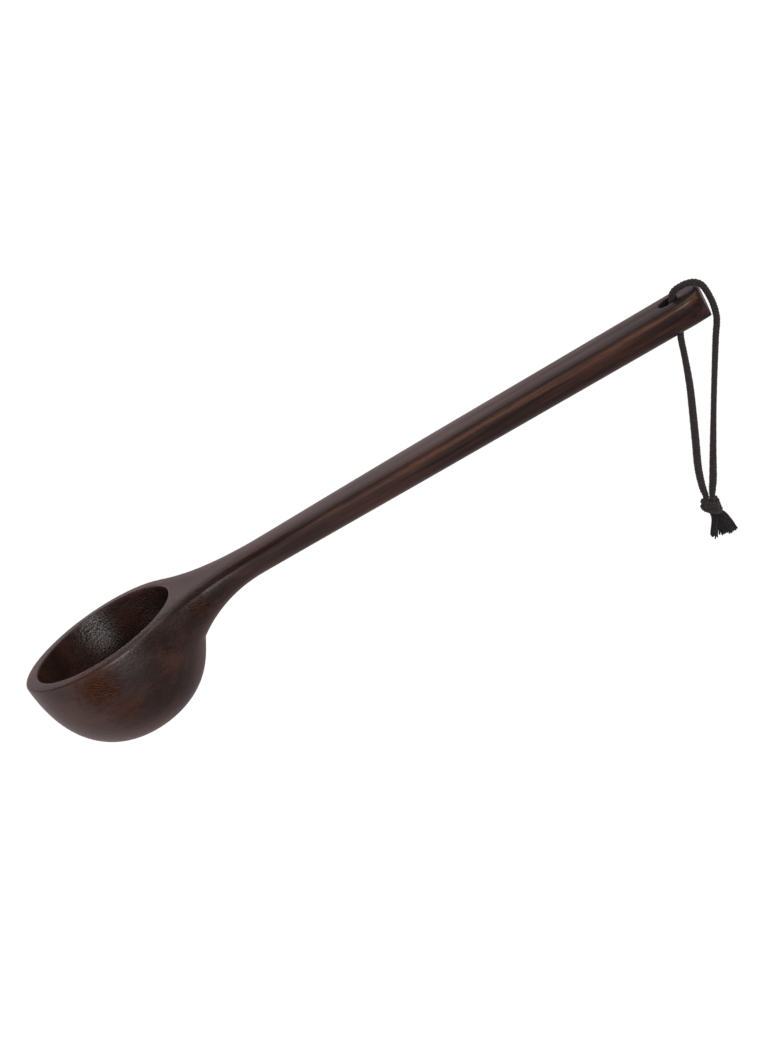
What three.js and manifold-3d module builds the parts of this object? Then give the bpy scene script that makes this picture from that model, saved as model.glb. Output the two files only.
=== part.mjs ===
// Sauna ladle: one carved wooden ladle with a cord loop tied through the end of its handle.
// Units are millimetres and +Z is up. The origin is in the middle of the hand grip.
//
// The ladle is drawn in its own frame: u runs along the handle from the middle of the bowl,
// v runs across, and w stands square to the flat top that the rim and the handle share.
// The finished ladle is then tilted as a hand holds it, and the loop hangs straight down.

import * as THREE from 'three';
import { mergeVertices } from 'three/addons/utils/BufferGeometryUtils.js';
import Module from 'manifold-3d';

const wasm = await Module();
wasm.setup();

// Driving dimensions of the wooden ladle
const OVERALL_LENGTH = 401;
const BOWL_DIAMETER = 95;
const BOWL_DEPTH = 55.6;
const BOWL_FULLNESS = 2.38;
const RIM_WIDTH = 7.4;
const RIM_ROUND = 1.2;
const FLOOR_THICKNESS = 9;
const HOLLOW_FULLNESS = 2.3;
const NECK_WIDTH = 23.6;
const NECK_DEPTH = 14.7;
const NECK_SIDE_RADIUS = 90;
const NECK_UNDER_RADIUS = 75;
const NECK_UNDER_FROM_BOWL = 40.5;
const NECK_CREASE_BLEND = 6;
const GRIP_WIDTH = 27.6;
const GRIP_SWELL_LENGTH = 110;
const HANDLE_EDGE_ROUND = 2.6;
const END_DEPTH = 17.4;
const END_ROUND_LENGTH = 15;
const END_FLAT_WIDTH = 12;
const END_TOP_ROUND = 2.5;
const END_UNDERCUT = 1.6;
const MOUTH_EASE = 0.8;
const HOLE_DIAMETER = 10.5;
const HOLE_FROM_END = 16.6;
const HELD_TILT_DEG = 32.5;
const GRIP_FROM_END = 143;
const GRIP_BELOW_TOP = 8;

// Driving dimensions of the cord
const CORD_DIAMETER = 3.7;
const CORD_SIDES = 8;
const KNOT_CORD_DIAMETER = 3.3;
const KNOT_CORE_RADIUS = 4.2;
const KNOT_CORE_FLATNESS = 0.85;
const PIVOT_CLEARANCE = 0.5;
const SEAT_CLEARANCE = 0.3;
const YARN_DIAMETER = 1.1;
const YARNS_PER_TAIL = 9;
const YARN_LENGTH = 10;
const YARN_UNEVENNESS = 0.15;
const YARN_SPREAD_HALFWAY = 0.3;
const YARN_SPREAD_IN_DEPTH = 1.2;
const TAIL_STUB_LENGTH = 2.4;
const LEFT_TAIL_LEAN_DEG = 2;
const LEFT_TAIL_SPREAD = 0.6;
const RIGHT_TAIL_LEAN_DEG = 30;
const RIGHT_TAIL_SPREAD = 2.8;

// How finely the wooden surface is divided, and how the cord's tubes and balls are
const FRONT_STEPS = 28;
const BOWL_STATIONS = 6;
const CREASE_STATIONS = 9;
const CREASE_MARGIN = 2;
const NECK_STATIONS = 8;
const GRIP_STATIONS = 14;
const END_STATIONS = 7;
const EDGE_STEPS = 3;
const SIDE_STEPS = 12;
const LEAST_LIFT = 0.05;
const HOLLOW_SEGMENTS = 48;
const HOLLOW_RINGS = 12;
const HOLE_SEGMENTS = 24;
const OVER_END_STEPS = 28;
const LEG_STEPS = 14;
const KNOT_STEPS_PER_POINT = 2;
const BALL_SEGMENTS = 16;
const BALL_RINGS = 10;
const YARN_SIDES = 5;
const YARN_STEPS = 5;
const WELD_DISTANCE = 1e-4;
const HALVINGS = 40;

// Derived places on the ladle
const bowlRadius = BOWL_DIAMETER / 2;
const hollowRadius = bowlRadius - RIM_WIDTH;
const hollowDepth = BOWL_DEPTH - FLOOR_THICKNESS;
const endU = OVERALL_LENGTH - bowlRadius;
const holeU = endU - HOLE_FROM_END;
const neckHalf = NECK_WIDTH / 2;
const gripHalf = GRIP_WIDTH / 2;
const sideCentreV = neckHalf + NECK_SIDE_RADIUS;
const neckU = Math.sqrt((bowlRadius + NECK_SIDE_RADIUS) ** 2 - sideCentreV ** 2);
const flareU = neckU * bowlRadius / (bowlRadius + NECK_SIDE_RADIUS);
const underU = bowlRadius + NECK_UNDER_FROM_BOWL;
const tilt = THREE.MathUtils.degToRad(HELD_TILT_DEG);
const cordRadius = CORD_DIAMETER / 2;

// Materials, with the colours seen in the photograph
const smokedWood = new THREE.MeshStandardMaterial({ color: 0x35261f, roughness: 0.42, metalness: 0 });
const blackCotton = new THREE.MeshStandardMaterial({ color: 0x1c1a1b, roughness: 0.9, metalness: 0 });

// Solids: three.js geometry to a boolean solid and back
function solidFrom(geometry) {
  const bare = geometry.clone();
  bare.deleteAttribute('normal');
  bare.deleteAttribute('uv');
  const merged = mergeVertices(bare, WELD_DISTANCE);
  return new wasm.Manifold(new wasm.Mesh({
    numProp: 3,
    vertProperties: new Float32Array(merged.attributes.position.array),
    triVerts: new Uint32Array(merged.index.array),
  }));
}

function geometryFrom(solid) {
  const mesh = solid.getMesh();
  const geometry = new THREE.BufferGeometry();
  geometry.setAttribute('position', new THREE.BufferAttribute(new Float32Array(mesh.vertProperties), 3));
  geometry.setIndex(new THREE.BufferAttribute(new Uint32Array(mesh.triVerts), 1));
  geometry.computeVertexNormals();
  return geometry;
}

function namedMesh(name, geometry, material) {
  const mesh = new THREE.Mesh(geometry, material.clone());
  mesh.name = name;
  return mesh;
}

// The carved outline, as functions of the place u along the ladle
function smooth(from, to, u) {
  return THREE.MathUtils.smoothstep(u, from, to);
}

// Half the width at its widest, just below the rounded top edge
function halfWidth(u) {
  if (u < flareU) {
    return Math.sqrt(Math.max(bowlRadius ** 2 - u ** 2, 0));
  }
  if (u < neckU) {
    return sideCentreV - Math.sqrt(NECK_SIDE_RADIUS ** 2 - (neckU - u) ** 2);
  }
  const grip = THREE.MathUtils.lerp(neckHalf, gripHalf, smooth(neckU, neckU + GRIP_SWELL_LENGTH, u));
  const along = Math.max((u - (endU - END_ROUND_LENGTH)) / END_ROUND_LENGTH, 0);
  return END_FLAT_WIDTH / 2 + (grip - END_FLAT_WIDTH / 2) * Math.sqrt(Math.max(1 - along ** 2, 0));
}

function handleDepth(u) {
  const along = THREE.MathUtils.clamp((u - neckU) / (endU - neckU), 0, 1);
  const depth = THREE.MathUtils.lerp(NECK_DEPTH, END_DEPTH, along);
  const back = THREE.MathUtils.clamp(underU - u, 0, NECK_UNDER_RADIUS);
  return depth + NECK_UNDER_RADIUS - Math.sqrt(NECK_UNDER_RADIUS ** 2 - back ** 2);
}

function topDrop(u) {
  const past = Math.max(u - (endU - END_TOP_ROUND), 0);
  return END_TOP_ROUND - Math.sqrt(END_TOP_ROUND ** 2 - past ** 2);
}

// The top edge is crisp round the rim and softer along the handle
function edgeRound(u) {
  return THREE.MathUtils.lerp(RIM_ROUND, HANDLE_EDGE_ROUND, smooth(flareU, neckU, u));
}

// How far the widest level lies below the top face, which drops at the handle's end
function edgeLift(u) {
  return Math.max(edgeRound(u) - topDrop(u), LEAST_LIFT);
}

function insideBowl(across, down) {
  const pastFlat = Math.max(across - (bowlRadius - RIM_ROUND), 0);
  const aboveWidest = Math.max(RIM_ROUND - down, 0);
  const inEdge = pastFlat === 0 || Math.hypot(pastFlat, aboveWidest) < RIM_ROUND;
  const inSide = (across / bowlRadius) ** BOWL_FULLNESS + (down / BOWL_DEPTH) ** BOWL_FULLNESS < 1;
  return inEdge && inSide;
}

// Distance from the middle of the top face to the bowl's skin, at an angle below the face
function bowlReach(u, angle) {
  if (u >= bowlRadius) {
    return 0;
  }
  let low = 0;
  let high = bowlRadius + BOWL_DEPTH;
  for (let i = 0; i < HALVINGS; i += 1) {
    const reach = (low + high) / 2;
    if (insideBowl(Math.hypot(u, reach * Math.cos(angle)), reach * Math.sin(angle))) {
      low = reach;
    } else {
      high = reach;
    }
  }
  return low;
}

// The same distance on the neck and handle: a flat top, a rounded edge, and half an oval
function handleReach(u, angle) {
  if (u < flareU) {
    return 0;
  }
  const edge = edgeRound(u);
  const lift = edgeLift(u);
  const wide = halfWidth(u);
  const tall = handleDepth(u) - edge;
  const cos = Math.cos(angle);
  const sin = Math.sin(angle);
  const a = (cos / wide) ** 2 + (sin / tall) ** 2;
  const b = -2 * lift * sin / tall ** 2;
  const c = (lift / tall) ** 2 - 1;
  const oval = (-b + Math.sqrt(b * b - 4 * a * c)) / (2 * a);
  if (oval * sin >= lift) {
    return oval;
  }
  const flat = wide - edge;
  const towards = flat * cos + lift * sin;
  return towards + Math.sqrt(Math.max(towards ** 2 - flat ** 2 - lift ** 2 + edge ** 2, 0));
}

function outerReach(u, angle) {
  const bowl = bowlReach(u, angle);
  const handle = handleReach(u, angle);
  const blend = NECK_CREASE_BLEND * Math.sin(angle) ** 2;
  const near = Math.max(blend - Math.abs(bowl - handle), 0);
  const lift = blend > 0 ? near ** 2 / (4 * blend) : 0;
  return Math.max(bowl, handle) + lift;
}

// Half of a cross-section, as [v, w] from the flat top, round the edge and down to the middle below
function halfSection(u) {
  const edgeAngle = Math.atan2(edgeLift(u), halfWidth(u));
  const round = spread(0, 1, EDGE_STEPS).map((share) => edgeAngle * share ** 2);
  const side = spread(edgeAngle, Math.PI / 2, SIDE_STEPS);
  return [0, ...round, ...side].map((angle) => {
    const reach = outerReach(u, angle);
    return [reach * Math.cos(angle), -topDrop(u) - reach * Math.sin(angle)];
  });
}

// A whole cross-section: down the far side and up the near one, leaning back below the handle's end
function ringAt(u, half) {
  const leaning = smooth(endU - END_ROUND_LENGTH, endU, u) * END_UNDERCUT / END_DEPTH;
  const far = half.map(([v, w]) => new THREE.Vector3(u + w * leaning, v, w));
  const near = far.slice(0, -1).reverse().map(({ x, y, z }) => new THREE.Vector3(x, -y, z));
  return [...far, ...near];
}

function spread(from, to, count) {
  return Array.from({ length: count }, (_, i) => from + (to - from) * (i + 1) / count);
}

function stationsAlong() {
  const creaseEndU = bowlRadius + CREASE_MARGIN;
  const roundStartU = endU - END_ROUND_LENGTH;
  const roundEnd = spread(0, Math.PI / 2, END_STATIONS).map((angle) => {
    return roundStartU + END_ROUND_LENGTH * Math.sin(angle);
  });
  return [
    0,
    ...spread(0, flareU, BOWL_STATIONS),
    ...spread(flareU, creaseEndU, CREASE_STATIONS),
    ...spread(creaseEndU, neckU, NECK_STATIONS),
    ...spread(neckU, roundStartU, GRIP_STATIONS),
    ...roundEnd,
  ];
}

// The skin: the front of the bowl is turned, and the rest is lofted ring after ring to the flat end
function ladleSkin() {
  const places = stationsAlong();
  const halves = places.map(halfSection);
  const rings = places.map((u, k) => ringAt(u, halves[k]));
  const lowest = halves[0].length - 1;
  const turns = spread(Math.PI / 2, Math.PI * 1.5, FRONT_STEPS).slice(0, -1);
  const meridians = turns.map((turn) => halves[0].slice(0, lowest).map(([v, w]) => {
    return new THREE.Vector3(v * Math.cos(turn), v * Math.sin(turn), w);
  }));
  const ringSize = rings[0].length;
  const onRing = (ring, i) => ring * ringSize + (i % ringSize);
  const onFront = (k, i) => {
    if (k === 0 || i === lowest) {
      return onRing(0, i);
    }
    if (k === FRONT_STEPS) {
      return onRing(0, ringSize - 1 - i);
    }
    return rings.length * ringSize + (k - 1) * lowest + i;
  };
  const faces = [];
  for (let ring = 0; ring + 1 < rings.length; ring += 1) {
    for (let i = 0; i < ringSize; i += 1) {
      faces.push(onRing(ring, i), onRing(ring + 1, i), onRing(ring + 1, i + 1));
      faces.push(onRing(ring, i), onRing(ring + 1, i + 1), onRing(ring, i + 1));
    }
  }
  for (let k = 0; k < FRONT_STEPS; k += 1) {
    for (let i = 0; i < lowest; i += 1) {
      faces.push(onFront(k, i), onFront(k, i + 1), onFront(k + 1, i));
      if (i + 1 < lowest) {
        faces.push(onFront(k, i + 1), onFront(k + 1, i + 1), onFront(k + 1, i));
      }
    }
  }
  for (let k = 1; k < FRONT_STEPS; k += 1) {
    faces.push(onFront(0, 0), onFront(k, 0), onFront(k + 1, 0));
  }
  const last = rings.length - 1;
  for (let i = 1; i + 1 < ringSize; i += 1) {
    faces.push(onRing(last, 0), onRing(last, i + 1), onRing(last, i));
  }
  const geometry = new THREE.BufferGeometry().setFromPoints([...rings.flat(), ...meridians.flat()]);
  geometry.setIndex(faces);
  return geometry;
}

// The hollow of the bowl is turned about w, with an eased edge where it meets the rim
function hollowCutter() {
  const profile = [new THREE.Vector2(0, -hollowDepth)];
  for (let i = 1; i <= HOLLOW_RINGS; i += 1) {
    const angle = (Math.PI / 2) * i / HOLLOW_RINGS;
    const r = hollowRadius * Math.sin(angle) ** (2 / HOLLOW_FULLNESS);
    const w = -hollowDepth * Math.max(Math.cos(angle), 0) ** (2 / HOLLOW_FULLNESS);
    profile.push(new THREE.Vector2(r, Math.min(w, -MOUTH_EASE)));
  }
  profile.push(new THREE.Vector2(hollowRadius + 2 * MOUTH_EASE, MOUTH_EASE));
  profile.push(new THREE.Vector2(0, MOUTH_EASE));
  const turned = new THREE.LatheGeometry(profile, HOLLOW_SEGMENTS);
  return solidFrom(turned.rotateX(Math.PI / 2));
}

// The cord hole is drilled square to the flat top, with an eased upper mouth
function holeCutter() {
  const radius = HOLE_DIAMETER / 2;
  const profile = [
    new THREE.Vector2(0, -2 * END_DEPTH),
    new THREE.Vector2(radius, -2 * END_DEPTH),
    new THREE.Vector2(radius, -MOUTH_EASE),
    new THREE.Vector2(radius + 2 * MOUTH_EASE, MOUTH_EASE),
    new THREE.Vector2(0, MOUTH_EASE),
  ];
  const turned = new THREE.LatheGeometry(profile, HOLE_SEGMENTS);
  return solidFrom(turned.rotateX(Math.PI / 2).translate(holeU, 0, 0));
}

function carvedLadle() {
  const blank = solidFrom(ladleSkin());
  return geometryFrom(blank.subtract(hollowCutter()).subtract(holeCutter()));
}

// From the ladle's own u and w, on its middle plane, to the frame that the cord hangs in
function held(u, w) {
  const along = u - (endU - GRIP_FROM_END);
  const above = w + GRIP_BELOW_TOP;
  const x = along * Math.cos(tilt) - above * Math.sin(tilt);
  const z = along * Math.sin(tilt) + above * Math.cos(tilt);
  return new THREE.Vector3(x, 0, z);
}

// A cord is an eight-sided tube along a smooth curve through its points
function tube(points, diameter, sides, steps) {
  const radius = diameter / 2;
  const section = new THREE.Shape(Array.from({ length: sides }, (_, i) => {
    const angle = 2 * Math.PI * i / sides;
    return new THREE.Vector2(radius * Math.cos(angle), radius * Math.sin(angle));
  }));
  const path = new THREE.CatmullRomCurve3(points, false, 'centripetal');
  return solidFrom(new THREE.ExtrudeGeometry(section, { steps, extrudePath: path, curveSegments: 1 }));
}

function ball(centre, radius, flatness = 1) {
  const sphere = new THREE.SphereGeometry(radius, BALL_SEGMENTS, BALL_RINGS).scale(1, 1, flatness);
  return solidFrom(sphere.translate(centre.x, centre.y, centre.z));
}

// The cord's points, chosen by eye. Those in the hole and over the end are [u, w] from the middle
// of the hole's upper mouth, and those of each hanging leg are [x, z] from the point it turns on.
const OVER_END = [
  [-4.3, -20.0], [-2.6, -16.4], [-1.6, -12], [-0.2, -7], [1.5, -2.5], [2.6, 0.4], [4.2, 2.3],
  [6.5, 3.2], [9.3, 3.4], [12.2, 3.2], [15.0, 2.4], [17.3, 0.9], [18.8, -1.6], [19.2, -5.2],
  [19.0, -9.3], [18.3, -14.0], [16.2, -20.2],
];
const FRONT_LEG = [
  [0, 0], [2.0, -9.0], [4.9, -24.0], [6.9, -39.2], [8.7, -54.4], [10.5, -69.5], [13.5, -81.0],
];
const REAR_LEG = [
  [0, 0], [-0.2, -9.8], [-0.3, -34.6], [-0.2, -49.9], [0.1, -70.1], [0.5, -85.6], [0.3, -91.8],
];

function pivotAt(end) {
  return held(holeU + end[0], end[1]);
}

const frontPivot = pivotAt(OVER_END[0]);
const rearPivot = pivotAt(OVER_END[OVER_END.length - 1]);

// Each leg turns on a round end in a cup at the cord that comes out of the ladle
function cordOverEnd() {
  const points = OVER_END.map(([u, w]) => held(holeU + u, w));
  const cup = cordRadius + PIVOT_CLEARANCE;
  return tube(points, CORD_DIAMETER, CORD_SIDES, OVER_END_STEPS)
    .subtract(ball(frontPivot, cup))
    .subtract(ball(rearPivot, cup));
}

function hangingLeg(offsets, pivot) {
  const points = offsets.map(([x, z]) => pivot.clone().add(new THREE.Vector3(x, 0, z)));
  return tube(points, CORD_DIAMETER, CORD_SIDES, LEG_STEPS).add(ball(pivot, cordRadius));
}

// The overhand knot, tied with both strands side by side. Its middle is [x, z] from the point that
// the front leg turns on. Each row is a point on the pair's middle line and the way from it to one
// strand, as [x, y, z, x, y, z] from the knot's middle. A tube follows each run of rows, and the
// turns between the runs are hidden in the core, where the strands are pressed together.
const KNOT_AT = [17.6, -88.5];
const KNOT_PAIR = [
  [-1.6, -0.4, 6.3, 1.72, 0, 0], [-1.5, -1.5, 4.4, 1.5, 0, 0], [-1.2, -1.9, 2.3, 1.45, 0, 0.1],
  [-0.8, -1.0, 0.2, 1.4, 0, 0.2], [-0.6, 0.8, -1.8, 1.2, 0, 0.5], [-0.4, 2.8, -2.4, 0.6, 0, 1.2],
  [-0.8, 4.0, -1.4, 0.2, 0, 1.4], [-2.8, 3.2, -0.3, 0, 0, 1.45], [-4.2, 0.2, 0.7, 0, 0, 1.3],
  [-3.1, -2.9, 0.5, 0, 0, 1.3], [-0.4, -4.1, 0.4, 0, 0, 1.3], [2.2, -3.1, -0.3, -0.3, 0, 1.4],
  [3.6, -0.2, -1.0, -0.6, 0, 1.5], [3.0, 2.2, 0.4, -0.5, 0, 1.4], [1.6, 2.6, 1.9, -0.2, 0, 1.3],
  [0.2, 1.6, 2.2, 1.0, 0, 0.6], [0.8, 1.0, -0.4, 1.4, 0, 0.2], [2.1, -0.2, -2.8, 1.65, 0, 0.1],
  [3.0, -0.6, -4.6, 1.85, 0, 0.2],
];
const KNOT_RUNS = [[0, 5], [5, 15], [16, 19]];

function knotCentre() {
  return frontPivot.clone().add(new THREE.Vector3(KNOT_AT[0], 0, KNOT_AT[1]));
}

function knotStrand(side) {
  const centre = knotCentre();
  return KNOT_PAIR.map(([x, y, z, ox, oy, oz]) => {
    return new THREE.Vector3(x + side * ox, y + side * oy, z + side * oz).add(centre);
  });
}

function overhandKnot() {
  const runs = [-1, 1].flatMap((side) => {
    const strand = knotStrand(side);
    return KNOT_RUNS.map(([from, to]) => {
      const steps = KNOT_STEPS_PER_POINT * (to - from);
      return tube(strand.slice(from, to), KNOT_CORD_DIAMETER, CORD_SIDES, steps);
    });
  });
  const pressedCore = ball(knotCentre(), KNOT_CORE_RADIUS, KNOT_CORE_FLATNESS);
  return runs.reduce((joined, run) => joined.add(run), pressedCore);
}

// A cut end: the cord's stub leaves the knot along its strand, and its yarns spread and droop
function frayedTail(side, leanDeg, spreadAside) {
  const lean = THREE.MathUtils.degToRad(leanDeg);
  const strand = knotStrand(side);
  const exit = strand[strand.length - 1];
  const leaving = exit.clone().sub(strand[strand.length - 2]).normalize();
  const falling = new THREE.Vector3(Math.sin(lean), 0, -Math.cos(lean));
  const across = new THREE.Vector3(Math.cos(lean), 0, Math.sin(lean));
  const depth = new THREE.Vector3(0, 1, 0);
  const start = exit.clone().addScaledVector(leaving, SEAT_CLEARANCE);
  const stub = start.clone().addScaledVector(leaving, TAIL_STUB_LENGTH);
  const rootRadius = (KNOT_CORD_DIAMETER - YARN_DIAMETER) / 2;
  const goldenAngle = Math.PI * (3 - Math.sqrt(5));
  let tail = tube([start, stub], KNOT_CORD_DIAMETER, CORD_SIDES, 1);
  for (let i = 0; i < YARNS_PER_TAIL; i += 1) {
    const angle = i * goldenAngle;
    const out = Math.sqrt(i / YARNS_PER_TAIL);
    const reach = YARN_LENGTH * (1 - YARN_UNEVENNESS * Math.abs(Math.sin(angle)));
    const at = (distance, opened) => stub.clone()
      .addScaledVector(distance < 0 ? leaving : falling, distance)
      .addScaledVector(across, out * Math.cos(angle) * (rootRadius + opened * spreadAside))
      .addScaledVector(depth, out * Math.sin(angle) * (rootRadius + opened * YARN_SPREAD_IN_DEPTH));
    const points = [
      at(-TAIL_STUB_LENGTH / 2, 0),
      at(0, 0),
      at(reach / 2, YARN_SPREAD_HALFWAY),
      at(reach, 1),
    ];
    tail = tail.add(tube(points, YARN_DIAMETER, YARN_SIDES, YARN_STEPS));
  }
  return tail;
}

// The assembly
const sauna_ladle = new THREE.Group();

const tilted = new THREE.Group();
tilted.rotation.y = -tilt;
const ladle = namedMesh('ladle', carvedLadle(), smokedWood);
ladle.position.set(GRIP_FROM_END - endU, 0, GRIP_BELOW_TOP);
tilted.add(ladle);
sauna_ladle.add(tilted);

const cordPieces = {
  cord_over_end: cordOverEnd(),
  cord_front_leg: hangingLeg(FRONT_LEG, frontPivot),
  cord_rear_leg: hangingLeg(REAR_LEG, rearPivot),
  overhand_knot: overhandKnot(),
  frayed_tail_left: frayedTail(-1, LEFT_TAIL_LEAN_DEG, LEFT_TAIL_SPREAD),
  frayed_tail_right: frayedTail(1, RIGHT_TAIL_LEAN_DEG, RIGHT_TAIL_SPREAD),
};
for (const [name, solid] of Object.entries(cordPieces)) {
  sauna_ladle.add(namedMesh(name, geometryFrom(solid), blackCotton));
}

export default sauna_ladle;
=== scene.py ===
# %% [markdown]
# A carved sauna ladle with a knotted cord loop
#
# The real thing is two pieces: one block of dark stained hardwood, carved into bowl, neck and handle,
# and one black cotton cord, put through a hole near the handle's end and tied with an overhand knot.
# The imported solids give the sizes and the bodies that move. This lesson makes the finished surfaces
# around them: a fine skin for the wood, a braid for the cord, and loose yarn at its cut ends.

# %% The frame that everything is built around
from functools import partial
from math import acos, atan2, cos, pi, radians, sin, sqrt

import bmesh
import bpy
import numpy as np
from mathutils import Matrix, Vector


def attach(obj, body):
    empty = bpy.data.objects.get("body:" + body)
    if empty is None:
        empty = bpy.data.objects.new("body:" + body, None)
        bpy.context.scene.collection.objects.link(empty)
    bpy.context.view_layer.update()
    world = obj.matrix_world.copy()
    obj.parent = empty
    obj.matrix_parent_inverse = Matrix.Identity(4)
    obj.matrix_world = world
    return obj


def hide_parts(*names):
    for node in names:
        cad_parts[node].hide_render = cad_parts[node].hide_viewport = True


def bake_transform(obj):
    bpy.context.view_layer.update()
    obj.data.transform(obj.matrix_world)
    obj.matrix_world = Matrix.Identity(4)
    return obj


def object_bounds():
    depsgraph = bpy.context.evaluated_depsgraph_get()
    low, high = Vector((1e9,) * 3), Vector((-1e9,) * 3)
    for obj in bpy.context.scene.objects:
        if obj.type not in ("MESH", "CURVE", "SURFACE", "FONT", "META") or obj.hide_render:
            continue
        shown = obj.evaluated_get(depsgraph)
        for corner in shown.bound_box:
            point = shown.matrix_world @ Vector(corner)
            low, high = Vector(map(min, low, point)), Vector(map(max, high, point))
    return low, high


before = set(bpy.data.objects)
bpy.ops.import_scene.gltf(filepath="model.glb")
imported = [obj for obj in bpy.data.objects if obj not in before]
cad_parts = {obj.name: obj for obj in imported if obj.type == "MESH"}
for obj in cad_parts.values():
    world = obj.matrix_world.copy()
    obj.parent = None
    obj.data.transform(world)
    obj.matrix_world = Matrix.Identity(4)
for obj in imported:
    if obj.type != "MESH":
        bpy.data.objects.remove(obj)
cad_box = [list(corner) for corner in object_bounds()]
scene = bpy.context.scene
scene.view_settings.view_transform = "Standard"


def link_new(name, data):
    """Put a mesh, a lamp or a camera into the scene as an object."""
    piece = bpy.data.objects.new(name, data)
    scene.collection.objects.link(piece)
    return piece


# %% [markdown]
# The camera
#
# The photograph is a portrait, 779 pixels wide and 1039 high. The ladle was fitted to it with a long
# lens about two metres away, a little above the ladle. A long lens keeps the rim's ellipse and the
# handle's taper as they are seen there. The sensor size counts along the longer side of the picture.

# %% Camera
IMAGE_HEIGHT_PX = 1039
FOCAL_LENGTH_PX = 4305
SENSOR_MM = 36
CAMERA_AT = (0.0165, -2.0270, 0.7406)
CAMERA_AZIMUTH_DEG = 1.46
CAMERA_ELEVATION_DEG = 21.11

camera_data = bpy.data.cameras.new("camera")
camera_data.sensor_width = SENSOR_MM
camera_data.lens = FOCAL_LENGTH_PX * SENSOR_MM / IMAGE_HEIGHT_PX
camera = link_new("camera", camera_data)
camera.location = CAMERA_AT
camera.rotation_euler = (radians(90 - CAMERA_ELEVATION_DEG), 0, radians(CAMERA_AZIMUTH_DEG))
scene.camera = camera
print(f"camera: {camera_data.lens:.1f} mm lens")

# %% [markdown]
# Two frames of reference
#
# The ladle is easiest to describe in its own axes: u runs along the handle from the middle of the
# bowl, v runs across, and w stands square to the flat top that the rim and the handle share. A hand
# holds it at a slant, so one function turns (u, v, w) in millimetres into the scene's metres.

# %% From the ladle's own axes to the scene
MM = 0.001
OVERALL_LENGTH = 401
BOWL_RADIUS = 47.5
HELD_TILT = radians(32.5)
GRIP_FROM_END = 143
GRIP_BELOW_TOP = 8
HOLE_FROM_END = 16.6
END_U = OVERALL_LENGTH - BOWL_RADIUS
HOLE_U = END_U - HOLE_FROM_END
GRIP_U = END_U - GRIP_FROM_END


def held(u, v, w):
    """A place on the ladle, in millimetres along its own axes, as a point of the scene in metres."""
    along = u - GRIP_U
    above = w + GRIP_BELOW_TOP
    x = along * cos(HELD_TILT) - above * sin(HELD_TILT)
    z = along * sin(HELD_TILT) + above * cos(HELD_TILT)
    return Vector((x, v, z)) * MM


print("middle of the bowl:", [round(c, 4) for c in held(0, 0, 0)])

# %% [markdown]
# Helpers for node trees
#
# Materials and Geometry Nodes are both graphs of nodes. One function adds a node, sets its options,
# and fills in each input or links it to another node. Inputs are given by name, or in the order in
# which the node shows them: for a Map Range, that is a value, two limits, and what they turn into.
# Colours are written as the hex values a paint program shows, and one function turns them into
# Blender's linear values.

# %% Node and colour helpers
MATH = "ShaderNodeMath"
VECTOR_MATH = "ShaderNodeVectorMath"
MAP_RANGE = "ShaderNodeMapRange"
MIX = "ShaderNodeMix"
NOISE = "ShaderNodeTexNoise"
MAPPING = "ShaderNodeMapping"
PRINCIPLED = "ShaderNodeBsdfPrincipled"
SMOOTHLY = {"interpolation_type": "SMOOTHSTEP"}
TIMES = {"operation": "MULTIPLY"}
TIMES_PLUS = {"operation": "MULTIPLY_ADD"}
FULL_TURN = 2 * pi


def add_node(tree, kind, inputs=(), **options):
    """Add a node; an input is a value, an output to link, or a node whose first output is linked."""
    node = tree.nodes.new(kind)
    for option, value in options.items():
        setattr(node, option, value)
    given = inputs if isinstance(inputs, dict) else dict(enumerate(inputs))
    for key, value in given.items():
        if isinstance(value, bpy.types.Node):
            value = next(output for output in value.outputs if output.enabled)
        if isinstance(value, bpy.types.NodeSocket):
            tree.links.new(value, node.inputs[key])
        else:
            node.inputs[key].default_value = value
    return node


def empty_nodes(owner):
    """Clear the nodes of a material or a world, and return a function that adds new ones."""
    owner.use_nodes = True
    owner.node_tree.nodes.clear()
    return partial(add_node, owner.node_tree)


def linear(hex_colour):
    """An sRGB hex colour as linear RGBA."""
    channels = [int(hex_colour[i : i + 2], 16) / 255 for i in (1, 3, 5)]
    return [c / 12.92 if c <= 0.04045 else ((c + 0.055) / 1.055) ** 2.4 for c in channels] + [1.0]


# %% [markdown]
# Black braided cotton
#
# The cord is dyed cotton, braided from soft yarns. Cotton has no gloss: each yarn is a bundle of fine
# fibres that scatters light, so the roughness is high and a little sheen lightens the edges. Dye sits
# unevenly, and the twist of the fibres shows as slanting lines. Strands that lie on top are paler,
# partly worn and partly painted light, and strands that dip under are painted darker, as painted shade
# in the crossings. Each strand carries two attributes, the distance along it and how far it lies on
# top, so that the pattern follows it round every bend.

# %% Cotton material
COTTON_BLACK = linear("#030202")
# Paler yarn: worn, and also the painted light of strands that lie on top of the braid.
COTTON_WORN_AND_LIT = linear("#352d2e")
TWIST_SPACING_MM = 0.9
TWIST_DEPTH = 0.12
DYE_PATCH_MM = 1.4
FIBRE_HEIGHT_MM = 0.3
WORN_FIBRE = (0.3, 0.7, 0.0, 0.35)
# Strands that dip under are painted darker: painted shade in the crossings of the braid.
WORN_TOP_AND_SHADE = (0.3, 1.0, 0.0, 0.7)


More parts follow.
